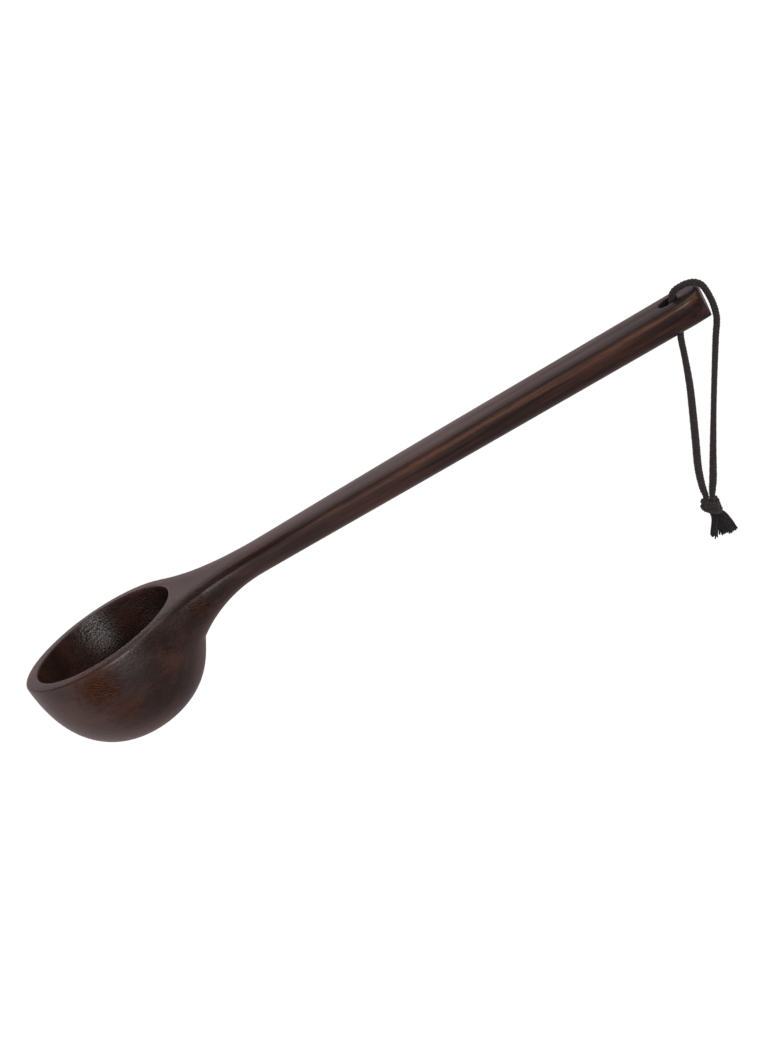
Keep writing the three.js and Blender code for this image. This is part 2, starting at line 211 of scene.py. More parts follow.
def braided_cotton():
    """Matt dyed cotton: twist lines, slightly uneven dye, paler raised strands, shade painted under
    them.
    """
    material = bpy.data.materials.new("dyed black cotton")
    add = empty_nodes(material)
    along = add("ShaderNodeAttribute", attribute_name="along_mm").outputs["Fac"]
    place = add("ShaderNodeTexCoord").outputs["Object"]
    turns = add(MATH, (along, FULL_TURN / TWIST_SPACING_MM), **TIMES)
    twist = add(MATH, (turns,), operation="SINE")
    dye = add(NOISE, {"Vector": place, "Scale": 1 / (DYE_PATCH_MM * MM), "Detail": 4, "Roughness": 0.7})
    fibre = add(MATH, (twist, TWIST_DEPTH, dye), **TIMES_PLUS)
    dusty = add(MAP_RANGE, (fibre, *WORN_FIBRE))
    over = add("ShaderNodeAttribute", attribute_name="over").outputs["Fac"]
    # Painted shade: the lower a strand lies in the weave, the darker it is painted, besides the wear on
    # top.
    top_wear_and_shade = add(MAP_RANGE, (over, *WORN_TOP_AND_SHADE))
    wear_and_shade = add(MATH, (top_wear_and_shade, dusty), operation="ADD")
    colour = add(MIX, {"Factor": wear_and_shade, "A": COTTON_BLACK, "B": COTTON_WORN_AND_LIT}, data_type="RGBA")
    relief = add("ShaderNodeBump", {"Height": fibre, "Strength": 0.8, "Distance": FIBRE_HEIGHT_MM * MM})
    matt = {"Roughness": 0.95, "IOR": 1.45, "Specular IOR Level": 0.25}
    fuzz = {"Sheen Weight": 0.12, "Sheen Roughness": 0.5}
    shader = add(PRINCIPLED, {"Base Color": colour, "Normal": relief} | matt | fuzz)
    add("ShaderNodeOutputMaterial", {"Surface": shader})
    return material


cotton = braided_cotton()
print("material:", cotton.name)

# %% [markdown]
# The cord's route
#
# The cord is shown from end to end, so its route is copied from what hangs there. The points in the
# hole and over the handle's end are (u, w) from the middle of the hole's upper mouth. The points of
# the hanging legs are (x, z) from the place where each leg starts to hang, with the cord's width. A
# smooth curve through the points, which bends evenly whatever their spacing, is its middle line.

# %% Points of the route, in millimetres
OVER_END = [
    (-4.3, -20.0), (-2.6, -16.4), (-1.6, -12), (-0.2, -7), (1.5, -2.5), (2.6, 0.4), (4.2, 2.3),
    (6.5, 3.2), (9.3, 3.4), (12.2, 3.2), (15.0, 2.4), (17.3, 0.9), (18.8, -1.6), (19.2, -5.2),
    (19.0, -9.3), (18.3, -14.0), (16.2, -20.2),
]
FRONT_LEG = [
    (2.0, -9.0, 3.6), (4.9, -24.0, 4.0), (6.9, -39.2, 4.2),
    (8.7, -54.4, 4.3), (10.5, -69.5, 4.2), (13.5, -81.0, 3.7),
]
REAR_LEG = [
    (-0.2, -9.8, 3.6), (-0.3, -34.6, 3.3), (-0.2, -49.9, 3.3),
    (0.1, -70.1, 3.8), (0.5, -85.6, 4.2), (0.3, -91.8, 3.7),
]
MEETING_POINT = 3
CORD_DIAMETER = 3.7
STEP = 0.5

over_end = [held(HOLE_U + u, 0, w) for u, w in OVER_END]
front_pivot = over_end[0]
rear_pivot = over_end[-1]


def cord_point(place, width):
    """A point of a cord's middle line, with the cord's width there as a fourth number."""
    return Vector((*place, width * MM))


def hanging_leg(pivot, rows):
    return [cord_point(pivot + Vector((x, 0, z)) * MM, width) for x, z, width in rows]


over_end_line = [cord_point(place, CORD_DIAMETER) for place in over_end]
front_leg = hanging_leg(front_pivot, FRONT_LEG)
rear_leg = hanging_leg(rear_pivot, REAR_LEG)


def smooth_line(points, step):
    """Places about step apart on a centripetal Catmull-Rom curve through the points."""
    ends = [2 * points[0] - points[1], *points, 2 * points[-1] - points[-2]]
    line = []
    for p0, p1, p2, p3 in zip(ends, ends[1:], ends[2:], ends[3:]):
        t1 = (p1 - p0).length ** 0.5
        t2 = t1 + (p2 - p1).length ** 0.5
        t3 = t2 + (p3 - p2).length ** 0.5
        count = max(int((p2 - p1).length / step), 1)
        for i in range(count):
            t = t1 + (t2 - t1) * i / count
            a1 = p0.lerp(p1, t / t1)
            a2 = p1.lerp(p2, (t - t1) / (t2 - t1))
            a3 = p2.lerp(p3, (t - t2) / (t3 - t2))
            b1 = a1.lerp(a2, t / t2)
            b2 = a2.lerp(a3, (t - t1) / (t3 - t1))
            line.append(b1.lerp(b2, (t - t1) / (t2 - t1)))
    return [*line, points[-1].copy()]


def places_on(line):
    return [point.xyz for point in line]


def line_length(line):
    places = places_on(line)
    return sum((b - a).length for a, b in zip(places, places[1:]))


# %% [markdown]
# The overhand knot
#
# Both ends of the cord go through one overhand knot, side by side. A knot like this can be sculpted,
# but it is truer to follow the two strands: down the front, once round everything, up behind, and out
# at the bottom. Each row is a point (x, y, z) on the middle line of the pair, and how far across and up
# from there one of its two strands lies. The other lies as far the other way.

# %% Strands of the knot, in millimetres from its middle
KNOT_AT = (17.6, 0, -88.5)
KNOT_PAIR = [
    (-1.6, -0.4, 6.3, 1.72, 0), (-1.5, -1.5, 4.4, 1.5, 0), (-1.2, -1.9, 2.3, 1.45, 0.1),
    (-0.8, -1.0, 0.2, 1.4, 0.2), (-0.6, 0.8, -1.8, 1.2, 0.5), (-0.4, 2.8, -2.4, 0.6, 1.2),
    (-0.8, 4.0, -1.4, 0.2, 1.4), (-2.8, 3.2, -0.3, 0, 1.45), (-4.2, 0.2, 0.7, 0, 1.3),
    (-3.1, -2.9, 0.5, 0, 1.3), (-0.4, -4.1, 0.4, 0, 1.3), (2.2, -3.1, -0.3, -0.3, 1.4),
    (3.6, -0.2, -1.0, -0.6, 1.5), (3.0, 2.2, 0.4, -0.5, 1.4), (1.6, 2.6, 1.9, -0.2, 1.3),
    (0.2, 1.6, 2.2, 1.0, 0.6), (0.8, 1.0, -0.4, 1.4, 0.2), (2.1, -0.2, -2.8, 1.65, 0.1),
    (3.0, -0.6, -4.6, 1.85, 0.2),
]
KNOT_CORD_DIAMETER = 3.3

knot_middle = front_pivot + Vector(KNOT_AT) * MM


def knot_strand(side):
    """The points of one of the two strands; side is -1 for the front leg's and 1 for the rear leg's."""
    points = [Vector((x + side * across, y, z + side * up)) for x, y, z, across, up in KNOT_PAIR]
    return [cord_point(knot_middle + point * MM, KNOT_CORD_DIAMETER) for point in points]


front_strand = knot_strand(-1)
rear_strand = knot_strand(1)
front_line = smooth_line(over_end_line[MEETING_POINT::-1] + front_leg + front_strand[:1], STEP * MM)
rear_line = smooth_line(over_end_line[MEETING_POINT:] + rear_leg + rear_strand[:1], STEP * MM)
knot_lines = [smooth_line(strand, STEP * MM) for strand in (front_strand, rear_strand)]
print(f"front half {line_length(front_line):.4f} m, rear half {line_length(rear_line):.4f} m")
print("in the knot:", [round(line_length(line), 4) for line in knot_lines])

# %% [markdown]
# The braid, in Geometry Nodes
#
# A round braid is two families of strands that wind opposite ways and pass over and under each other.
# That is a rule, so Geometry Nodes can follow it along any line: copy the line once for each strand,
# move every copy out to the braid's radius at a turning angle, and let the radius rise and fall so
# that the families weave. A flat oval swept along each copy makes the strand, and a plain core fills
# the middle. The sizes are inputs of the tree, so the thinner cord in the knot uses the same tree.

# %% Geometry Nodes tree for a round braid
STRAND_INSET = 0.9
STRAND_SIDES = 8
CORE_SIDES = 12
CIRCLE = "GeometryNodeCurvePrimitiveCircle"
SWEEP = "GeometryNodeCurveToMesh"
DUPLICATE = "GeometryNodeDuplicateElements"
STORE = "GeometryNodeStoreNamedAttribute"
NAMED = "GeometryNodeInputNamedAttribute"


def new_tree(name, counts, sizes):
    """A Geometry Nodes tree that takes a geometry, a material, and named counts and sizes."""
    tree = bpy.data.node_groups.new(name, "GeometryNodeTree")
    kinds = {"Geometry": "Geometry", "Material": "Material"}
    kinds |= dict.fromkeys(counts, "Int") | dict.fromkeys(sizes, "Float")
    for title, kind in kinds.items():
        tree.interface.new_socket(title, in_out="INPUT", socket_type="NodeSocket" + kind)
    tree.interface.new_socket("Geometry", in_out="OUTPUT", socket_type="NodeSocketGeometry")
    return tree


def finish_tree(add, geometry, material):
    """Smooth shading and the material, then the output."""
    shaded = add("GeometryNodeSetShadeSmooth", {"Geometry": geometry})
    dressed = add("GeometryNodeSetMaterial", {"Geometry": shaded, "Material": material})
    add("NodeGroupOutput", {"Geometry": dressed})


def braid_tree():
    sizes = ("Lay length", "Strand width", "Strand thickness", "Step")
    tree = new_tree("round braid", ["Strands each way"], sizes)
    add = partial(add_node, tree)
    given = add("NodeGroupInput").outputs
    each_way = given["Strands each way"]
    thickness = given["Strand thickness"]
    line = add("GeometryNodeMeshToCurve", {"Mesh": given["Geometry"]})
    even = add("GeometryNodeResampleCurve", {"Curve": line, "Length": given["Step"]}, mode="LENGTH")
    both_ways = add(MATH, (each_way, 2.0), **TIMES)
    copies = add(DUPLICATE, {"Geometry": even, "Amount": both_ways}, domain="SPLINE")
    number = copies.outputs["Duplicate Index"]

    # The first half of the copies winds one way, the second half the other way.
    family = add(MATH, (number, each_way), operation="DIVIDE")
    whole = add(MATH, (family,), operation="FLOOR")
    way = add(MATH, (whole, 2.0, -1.0), **TIMES_PLUS)
    start_angle = add(MATH, (family, FULL_TURN), **TIMES)
    length = add("GeometryNodeSplineParameter").outputs["Length"]
    lays = add(MATH, (length, given["Lay length"]), operation="DIVIDE")
    turned = add(MATH, (lays, FULL_TURN), **TIMES)
    angle = add(MATH, (turned, way, start_angle), **TIMES_PLUS)

    # Each strand rises over one that it crosses and dips under the next.
    weave_angle = add(MATH, (turned, each_way), **TIMES)
    weave = add(MATH, (weave_angle,), operation="COSINE")
    over = add(MATH, (weave, way), **TIMES)
    rise = add(MATH, (thickness, 0.5), **TIMES)
    width = add(NAMED, {"Name": "width"}, data_type="FLOAT")
    half = add(MATH, (width, 0.5), **TIMES)
    inset = add(MATH, (thickness, STRAND_INSET), **TIMES)
    middle = add(MATH, (half, inset), operation="SUBTRACT")
    radius = add(MATH, (over, rise, middle), **TIMES_PLUS)

    # The way outward turns round the line, and every strand keeps its flat side towards it.
    normal = add("GeometryNodeInputNormal")
    tangent = add("GeometryNodeInputTangent")
    aside = add(VECTOR_MATH, (tangent, normal), operation="CROSS_PRODUCT")
    cosine = add(MATH, (angle,), operation="COSINE")
    sine = add(MATH, (angle,), operation="SINE")
    part_a = add(VECTOR_MATH, {0: normal, "Scale": cosine}, operation="SCALE")
    part_b = add(VECTOR_MATH, {0: aside, "Scale": sine}, operation="SCALE")
    outward = add(VECTOR_MATH, (part_a, part_b), operation="ADD")
    in_mm = add(MATH, (length, 1 / MM), **TIMES)
    share_over = add(MATH, (over, 0.5, 0.5), **TIMES_PLUS)
    stored = copies
    for name, value, data_type in (
        ("outward", outward, "FLOAT_VECTOR"),
        ("along_mm", in_mm, "FLOAT"),
        ("over", share_over, "FLOAT"),
    ):
        stored = add(STORE, {"Geometry": stored, "Name": name, "Value": value}, data_type=data_type)
    moved_by = add(VECTOR_MATH, {0: outward, "Scale": radius}, operation="SCALE")
    wound = add("GeometryNodeSetPosition", {"Geometry": stored, "Offset": moved_by})
    facing = add(NAMED, {"Name": "outward"}, data_type="FLOAT_VECTOR")
    turned_out = add("GeometryNodeSetCurveNormal", {"Curve": wound, "Normal": facing}, mode="FREE")

    oval = add(CIRCLE, {"Resolution": STRAND_SIDES, "Radius": 0.5}, mode="RADIUS")
    oval_size = add("ShaderNodeCombineXYZ", (thickness, given["Strand width"], 1.0))
    section = add("GeometryNodeTransform", {"Geometry": oval, "Scale": oval_size})
    strands = add(SWEEP, {"Curve": turned_out, "Profile Curve": section, "Fill Caps": True})
    core_circle = add(CIRCLE, {"Resolution": CORE_SIDES, "Radius": 1.0}, mode="RADIUS")
    core = add(SWEEP, {"Curve": even, "Profile Curve": core_circle, "Scale": middle, "Fill Caps": True})
    joined = add("GeometryNodeJoinGeometry")
    for part in (core, strands):
        tree.links.new(part.outputs[0], joined.inputs[0])
    finish_tree(add, joined, given["Material"])
    return tree


def run_tree(name, tree, lines, settings):
    """Put a tree on one or more lines of points, and keep what it makes as a plain mesh."""
    mesh = bpy.data.meshes.new(name + " line")
    points = [point for line in lines for point in line]
    starts = np.cumsum([0] + [len(line) for line in lines])
    edges = [(i, i + 1) for a, b in zip(starts, starts[1:]) for i in range(a, b - 1)]
    mesh.from_pydata(places_on(points), edges, [])
    width = mesh.attributes.new("width", "FLOAT", "POINT")
    width.data.foreach_set("value", [point.w for point in points])
    carrier = link_new(name + " line", mesh)
    modifier = carrier.modifiers.new("tree", "NODES")
    modifier.node_group = tree
    for item in tree.interface.items_tree:
        if item.in_out == "INPUT" and item.name in settings:
            modifier[item.identifier] = settings[item.name]
    made = carrier.evaluated_get(bpy.context.evaluated_depsgraph_get())
    piece = link_new(name, bpy.data.meshes.new_from_object(made))
    bpy.data.objects.remove(carrier)
    print(f"{name}: {len(piece.data.polygons)} faces")
    return piece


# %% Braided cord and knot
BRAID = {
    "Material": cotton,
    "Strands each way": 5,
    "Lay length": 8.5 * MM,
    "Strand width": 1.25 * MM,
    "Strand thickness": 0.75 * MM,
    "Step": STEP * MM,
}
KNOT_BRAID = BRAID | {"Strand width": 1.1 * MM}

braid = braid_tree()
cord_front = run_tree("cord_front", braid, [front_line], BRAID)
cord_rear = run_tree("cord_rear", braid, [rear_line], BRAID)
knot = run_tree("overhand_knot_braid", braid, knot_lines, KNOT_BRAID)

# %% [markdown]
# Frayed ends
#
# Below the knot the braid has come apart. Its yarns spread into a fan, each a little longer or
# shorter than the next. A second tree copies a tail's middle line once for each yarn, moves the copies
# apart more and more towards the end, adds a small wave that differs from yarn to yarn, and trims
# each one to its own length.

# %% Geometry Nodes tree for frayed yarn
GOLDEN_ANGLE = pi * (3 - sqrt(5))
DEPTH_WAY = (0.0, 1.0, 0.0)
NOISE_MIDDLE = (0.5, 0.5, 0.5)
SEED_SPACING = 17.3
LANE_SPACING = 3.7
WAVES_PER_YARN = 2.2
YARN_SIDES = 6
TAIL_OVERLAP = 1.5


def fray_tree():
    spreads = ["Root radius", "Spread", "Spread in depth", "Opening"]
    sizes = ["Yarn diameter", *spreads, "Wave", "Unevenness"]
    tree = new_tree("frayed yarn", ["Yarns", "Seed"], sizes)
    add = partial(add_node, tree)
    given = add("NodeGroupInput").outputs
    line = add("GeometryNodeMeshToCurve", {"Mesh": given["Geometry"]})
    copies = add(DUPLICATE, {"Geometry": line, "Amount": given["Yarns"]}, domain="SPLINE")
    number = copies.outputs["Duplicate Index"]
    along = add("GeometryNodeSplineParameter").outputs

    # The golden angle and a square root spread the yarns evenly over the tail's round section.
    angle = add(MATH, (number, GOLDEN_ANGLE), **TIMES)
    share = add(MATH, (number, given["Yarns"]), operation="DIVIDE")
    out = add(MATH, (share,), operation="SQRT")
    opened = add(MATH, (along["Factor"], given["Opening"]), operation="POWER")
    tangent = add("GeometryNodeInputTangent")
    across = add(VECTOR_MATH, (DEPTH_WAY, tangent), operation="CROSS_PRODUCT")
    shifts = []
    for way, turn, size in ((across, "COSINE", "Spread"), (DEPTH_WAY, "SINE", "Spread in depth")):
        reach = add(MATH, (opened, given[size], given["Root radius"]), **TIMES_PLUS)
        turned = add(MATH, (angle,), operation=turn)
        moved_out = add(MATH, (out, reach), **TIMES)
        shift = add(MATH, (turned, moved_out), **TIMES)
        shifts.append(add(VECTOR_MATH, {0: way, "Scale": shift}, operation="SCALE"))
    fanned = add(VECTOR_MATH, shifts, operation="ADD")

    # Every yarn reads its own lane of one noise, so its wave is like no other's.
    seed = add(MATH, (given["Seed"], SEED_SPACING), **TIMES)
    lane = add(MATH, (number, LANE_SPACING, seed), **TIMES_PLUS)
    lane_place = add("ShaderNodeCombineXYZ", {"X": lane, "Y": along["Factor"]})
    noise = add(NOISE, {"Vector": lane_place, "Scale": WAVES_PER_YARN, "Detail": 1.0}).outputs["Color"]
    centred = add(VECTOR_MATH, (noise, NOISE_MIDDLE), operation="SUBTRACT")
    swing = add(MATH, (opened, given["Wave"]), **TIMES)
    waved = add(VECTOR_MATH, {0: centred, "Scale": swing}, operation="SCALE")
    moved_by = add(VECTOR_MATH, (fanned, waved), operation="ADD")
    in_mm = add(MATH, (along["Length"], 1 / MM), **TIMES)
    marked = add(STORE, {"Geometry": copies, "Name": "along_mm", "Value": in_mm}, data_type="FLOAT")
    loose = add("GeometryNodeSetPosition", {"Geometry": marked, "Offset": moved_by})
    chance = add("FunctionNodeRandomValue", {"ID": number, "Seed": given["Seed"]}, data_type="FLOAT")
    cut = add(MATH, (chance, given["Unevenness"]), **TIMES)
    end = add(MATH, (1.0, cut), operation="SUBTRACT")
    trimmed = add("GeometryNodeTrimCurve", {"Curve": loose, "End": end}, mode="FACTOR")
    half = add(MATH, (given["Yarn diameter"], 0.5), **TIMES)
    circle = add(CIRCLE, {"Resolution": YARN_SIDES, "Radius": half}, mode="RADIUS")
    yarns = add(SWEEP, {"Curve": trimmed, "Profile Curve": circle, "Fill Caps": True})
    finish_tree(add, yarns, given["Material"])
    return tree


def tail_line(strand, fall_end):
    """A tail's middle line: out of the knot along its strand, then on to where its yarns end."""
    leaving = (strand[-1] - strand[-2]).normalized() * TAIL_OVERLAP * MM
    end = cord_point(knot_middle + Vector(fall_end) * MM, KNOT_CORD_DIAMETER)
    return smooth_line([strand[-1] - leaving, strand[-1] + leaving, end], STEP * MM)


# %% Two tails
LEFT_TAIL_END = (1.6, 0.0, -17.1)
RIGHT_TAIL_END = (9.1, 0.0, -14.4)
FRAY = {
    "Material": cotton,
    "Yarn diameter": 0.75 * MM,
    "Root radius": 1.4 * MM,
    "Spread in depth": 1.2 * MM,
    "Wave": 1.3 * MM,
    "Unevenness": 0.14,
}
LEFT_FRAY = FRAY | {"Yarns": 36, "Spread": 0.5 * MM, "Opening": 1.2, "Seed": 3}
RIGHT_FRAY = FRAY | {"Yarns": 84, "Spread": 3.9 * MM, "Opening": 0.75, "Seed": 8}

fray = fray_tree()
tail_left = run_tree("frayed_yarn_left", fray, [tail_line(front_strand, LEFT_TAIL_END)], LEFT_FRAY)
tail_right = run_tree("frayed_yarn_right", fray, [tail_line(rear_strand, RIGHT_TAIL_END)], RIGHT_FRAY)

# %% [markdown]
# The shape of the wood
#
# The ladle is turned, then carved: the bowl is round, and the handle is an oval that is planed flat on
# top and is widest a few millimetres below its edge. Between them the neck flares along an arc into
# the bowl. Sanding has eased the flat top by a fraction of a millimetre towards its edges, and it has
# rounded the edges too, least at the lip and most beside the neck. Every cross-section can be worked
# out from those sizes, so the skin is lofted through many of them. The front half of the bowl is
# purely round, so there the same profile is turned.

# %% Sizes of the wood, in millimetres
BOWL_DEPTH = 55.6
BOWL_FULLNESS = 2.38
RIM_WIDTH = 7.4
FLOOR_THICKNESS = 9
HOLLOW_FULLNESS = 2.3
NECK_HALF = 11.8
NECK_DEPTH = 14.7
NECK_SIDE_RADIUS = 90
NECK_UNDER_RADIUS = 75
NECK_UNDER_FROM_BOWL = 40.5
NECK_CREASE_BLEND = 6
GRIP_HALF = 13.8
GRIP_SWELL_LENGTH = 110
END_DEPTH = 17.4
END_ROUND_LENGTH = 15
END_FLAT_HALF = 6
END_TOP_ROUND = 2.5
END_UNDERCUT = 1.6
HOLE_RADIUS = 5.25
HOLE_EASE = 0.8
RIM_ROUND = 1.2
EDGE_ROUND = 2.6
EASED_FROM_U = -30
EASED_TO_U = 60
NECK_EASE = 1.0
NECK_EASED_U = (25, 60, 80, 140)
RIM_FALL = 0.25
HANDLE_FALL = 0.4
TOP_FALL_WIDTH = 7.5
TOP_FALL_SHARE = 0.9

HOLLOW_RADIUS = BOWL_RADIUS - RIM_WIDTH
HOLLOW_DEPTH = BOWL_DEPTH - FLOOR_THICKNESS
SIDE_CENTRE_V = NECK_HALF + NECK_SIDE_RADIUS
NECK_U = sqrt((BOWL_RADIUS + NECK_SIDE_RADIUS) ** 2 - SIDE_CENTRE_V**2)
FLARE_U = NECK_U * BOWL_RADIUS / (BOWL_RADIUS + NECK_SIDE_RADIUS)
UNDER_U = BOWL_RADIUS + NECK_UNDER_FROM_BOWL
ROUND_START_U = END_U - END_ROUND_LENGTH
HALVINGS = 48
TINY = 1e-9


def smooth(low, high, x):
    """0 below low, 1 above high, and a smooth step between."""
    t = np.clip((x - low) / (high - low), 0, 1)
    return t * t * (3 - 2 * t)


# %% The carved outline, as functions of the place u along the ladle
def half_width(u):
    """Half the width at its widest, just below the rounded top edge."""
    if u < FLARE_U:
        return sqrt(max(BOWL_RADIUS**2 - u**2, 0))
    if u < NECK_U:
        return SIDE_CENTRE_V - sqrt(NECK_SIDE_RADIUS**2 - (NECK_U - u) ** 2)
    grip = NECK_HALF + (GRIP_HALF - NECK_HALF) * smooth(NECK_U, NECK_U + GRIP_SWELL_LENGTH, u)
    along = max((u - ROUND_START_U) / END_ROUND_LENGTH, 0)
    return END_FLAT_HALF + (grip - END_FLAT_HALF) * sqrt(max(1 - along**2, 0))


def handle_depth(u):
    along = np.clip((u - NECK_U) / (END_U - NECK_U), 0, 1)
    back = np.clip(UNDER_U - u, 0, NECK_UNDER_RADIUS)
    swept = NECK_UNDER_RADIUS - sqrt(NECK_UNDER_RADIUS**2 - back**2)
    return NECK_DEPTH + (END_DEPTH - NECK_DEPTH) * along + swept


def edge_round(u):
    """Radius of the rounded top edge: crisp at the lip, softest beside the neck, soft on the handle."""
    start, full, fading, end = NECK_EASED_U
    at_neck = smooth(start, full, u) * (1 - smooth(fading, end, u))
    eased = smooth(EASED_FROM_U, EASED_TO_U, u)
    return RIM_ROUND + (EDGE_ROUND - RIM_ROUND) * eased + NECK_EASE * at_neck


def top_fall(u):
    """How far the flat top falls away towards its edges, where sanding has eased it."""
    return RIM_FALL + (HANDLE_FALL - RIM_FALL) * smooth(FLARE_U, NECK_U, u)


def top_drop(u):
    """How far the top has rounded down at the handle's end."""
    past = max(u - (END_U - END_TOP_ROUND), 0)
    return END_TOP_ROUND - sqrt(END_TOP_ROUND**2 - past**2)


def bowl_reach(u, angle, edge):
    """Distance from the middle of the top face to the bowl's skin, at angles below the face."""
    if abs(u) >= BOWL_RADIUS:
        return np.zeros_like(angle)
    low = np.zeros_like(angle)
    high = np.full_like(angle, BOWL_RADIUS + BOWL_DEPTH)
    for _ in range(HALVINGS):
        reach = (low + high) / 2
        across = np.hypot(u, reach * np.cos(angle))
        down = reach * np.sin(angle)
        past_edge = np.maximum(across - (BOWL_RADIUS - edge), 0)
        under_edge = np.maximum(edge - down, 0)
        in_edge = np.hypot(past_edge, under_edge) < edge
        in_side = (across / BOWL_RADIUS) ** BOWL_FULLNESS + (down / BOWL_DEPTH) ** BOWL_FULLNESS < 1
        inside = in_side & (in_edge | (past_edge == 0))
        low = np.where(inside, reach, low)
        high = np.where(inside, high, reach)
    return low


def handle_reach(u, angle):
    """The same distance on the neck and handle: a flat top, a rounded edge, and half an oval."""
    if u < FLARE_U:
        return np.zeros_like(angle)
    edge = edge_round(u)
    wide = half_width(u)
    tall = handle_depth(u) - edge
    lift = edge - top_drop(u)
    a = (np.cos(angle) / wide) ** 2 + (np.sin(angle) / tall) ** 2
    b = -2 * lift * np.sin(angle) / tall**2
    c = (lift / tall) ** 2 - 1
    oval = (-b + np.sqrt(b * b - 4 * a * c)) / (2 * a)
    flat = wide - edge
    towards = flat * np.cos(angle) + lift * np.sin(angle)
    rounded = towards + np.sqrt(np.maximum(towards**2 - flat**2 - lift**2 + edge**2, 0))
    return np.where(oval * np.sin(angle) < lift, rounded, oval)


def outer_reach(u, angle, edge):
    """The larger of bowl and handle, with a soft crease where they meet."""
    bowl = bowl_reach(u, angle, edge)
    handle = handle_reach(u, angle)
    blend = NECK_CREASE_BLEND * np.sin(angle) ** 2 + TINY
    near = np.maximum(blend - np.abs(bowl - handle), 0)
    return np.maximum(bowl, handle) + near**2 / (4 * blend)


# %% One half of a cross-section, and the places to cut across
SIDE_STEPS = 40
SIDE_CROWDING = 1.1
EDGE_STEPS = 6
TOP_STEPS = 6
BOWL_CUTS = 20
CREASE_CUTS = 36
CREASE_MARGIN = 2
NECK_CUTS = 24
HANDLE_CUTS = 50
END_CUTS = 24
END_TURN = pi / 2 * 0.985


def half_section(u, edge):
    """Points (v, w) from the flat top, round the edge and down to the middle of the underside."""
    drop = top_drop(u)
    edge_angle = atan2(edge - drop, half_width(u))
    corner = edge_angle * np.linspace(0, 1, EDGE_STEPS + 1) ** 2
    side_share = np.linspace(0, 1, SIDE_STEPS + 1)[1:] ** SIDE_CROWDING
    side = edge_angle + (pi / 2 - edge_angle) * side_share
    angle = np.concatenate([corner, side])
    reach = outer_reach(u, angle, edge)
    v = reach * np.cos(angle)
    w = -reach * np.sin(angle)
    v[-1] = 0
    fall_width = min(TOP_FALL_WIDTH, TOP_FALL_SHARE * v[0])
    share = np.linspace(0, 1, TOP_STEPS + 1)[:-1]
    top_v = v[0] - fall_width * (1 - share)
    top_w = -top_fall(u) * share**2
    w = w - top_fall(u) * (1 - smooth(0, edge, -w))
    return np.column_stack([np.concatenate([top_v, v]), np.concatenate([top_w, w]) - drop])


def spread(start, stop, count):
    return [start + (stop - start) * (i + 1) / count for i in range(count)]


def stations():
    """Places along u where the back of the bowl, the neck and the handle are cut across."""
    crease_end = BOWL_RADIUS + CREASE_MARGIN
    return [
        0.0,
        *spread(0, FLARE_U, BOWL_CUTS),
        *spread(FLARE_U, crease_end, CREASE_CUTS),
        *spread(crease_end, NECK_U, NECK_CUTS),
        *spread(NECK_U, ROUND_START_U, HANDLE_CUTS),
        *[ROUND_START_U + END_ROUND_LENGTH * sin(turn) for turn in spread(0, END_TURN, END_CUTS)],
    ]


# %% [markdown]
# From sections to a solid
#
# The rings become faces in one bmesh: turned rows round the front of the bowl, lofted rows along the
# rest, one flat face on top, and a cap on the handle's end. The hollow and the cord hole are turned
# shapes too. Two Boolean modifiers cut them out, the hole first, because only then the mesh comes out
# closed. Their rims flare a little, so every edge that a hand touches is eased, as by sandpaper.

# %% Blank, cutters and the finished ladle
FRONT_STEPS = 64
CUTTER_STEPS = 128
HOLLOW_STEPS = 48
CAP_INSET = 0.6
MOUTH_ABOVE_TOP = 0.02
CUTTER_ABOVE_TOP = 2.0
FLAT_COSINE = 0.99999
SHARP_EDGE_DEG = 50


def add_band(shape, row, following, count):
    """Faces with four corners along the first count steps of two neighbouring rows of points."""
    for i in range(count):
        shape.faces.new((row[i], row[i + 1], following[i + 1], following[i]))


def closed_mesh(name, shape):
    """Turn the faces of a bmesh outward, and keep it as a mesh."""
    bmesh.ops.recalc_face_normals(shape, faces=shape.faces)
    mesh = bpy.data.meshes.new(name)
    shape.to_mesh(mesh)
    shape.free()
    return mesh


def blank_mesh():
    shape = bmesh.new()
    places = stations()
    halves = [half_section(u, edge_round(u)) for u in places]
    size = len(halves[0])

    def vertex(u, v, w):
        leaning = smooth(ROUND_START_U, END_U, u) * END_UNDERCUT / END_DEPTH
        return shape.verts.new(held(u + w * leaning, v, w))

    def whole_ring(u, half):
        far = [vertex(u, v, w) for v, w in half]
        near = [vertex(u, -v, w) for v, w in half[:-1]]
        return far + near[::-1]

    rings = [whole_ring(u, half) for u, half in zip(places, halves)]
    last = halves[-1]
    centre_w = (last[0][1] + last[-1][1]) / 2
    inner = 1 - CAP_INSET / last[:, 0].max()
    rings.append(whole_ring(END_U, [(v * inner, centre_w + (w - centre_w) * inner) for v, w in last]))
    for ring, following in zip(rings, rings[1:]):
        add_band(shape, ring, following, len(ring) - 1)
    shape.faces.new(rings[-1])

    flat_rings = [ring for ring, u in zip(rings, places) if top_drop(u) == 0]
    for ring, following in zip(rings[len(flat_rings) - 1 :], rings[len(flat_rings) :]):
        shape.faces.new((ring[-1], ring[0], following[0], following[-1]))

    meridians = [rings[0][:size]]
    for k in range(1, FRONT_STEPS):
        turn = pi / 2 + pi * k / FRONT_STEPS
        half = half_section(0, edge_round(BOWL_RADIUS * cos(turn)))
        row = [vertex(v * cos(turn), v * sin(turn), w) for v, w in half[:-1]]
        meridians.append(row + [rings[0][size - 1]])
    meridians.append(rings[0][: size - 2 : -1])
    for row, following in zip(meridians, meridians[1:]):
        add_band(shape, row, following, size - 2)
        shape.faces.new((row[size - 2], row[size - 1], following[size - 2]))
    outline = [row[0] for row in meridians] + [ring[-1] for ring in flat_rings[1:]]
    outline += [ring[0] for ring in flat_rings[:0:-1]]
    shape.faces.new(outline)
    return closed_mesh("ladle blank", shape)


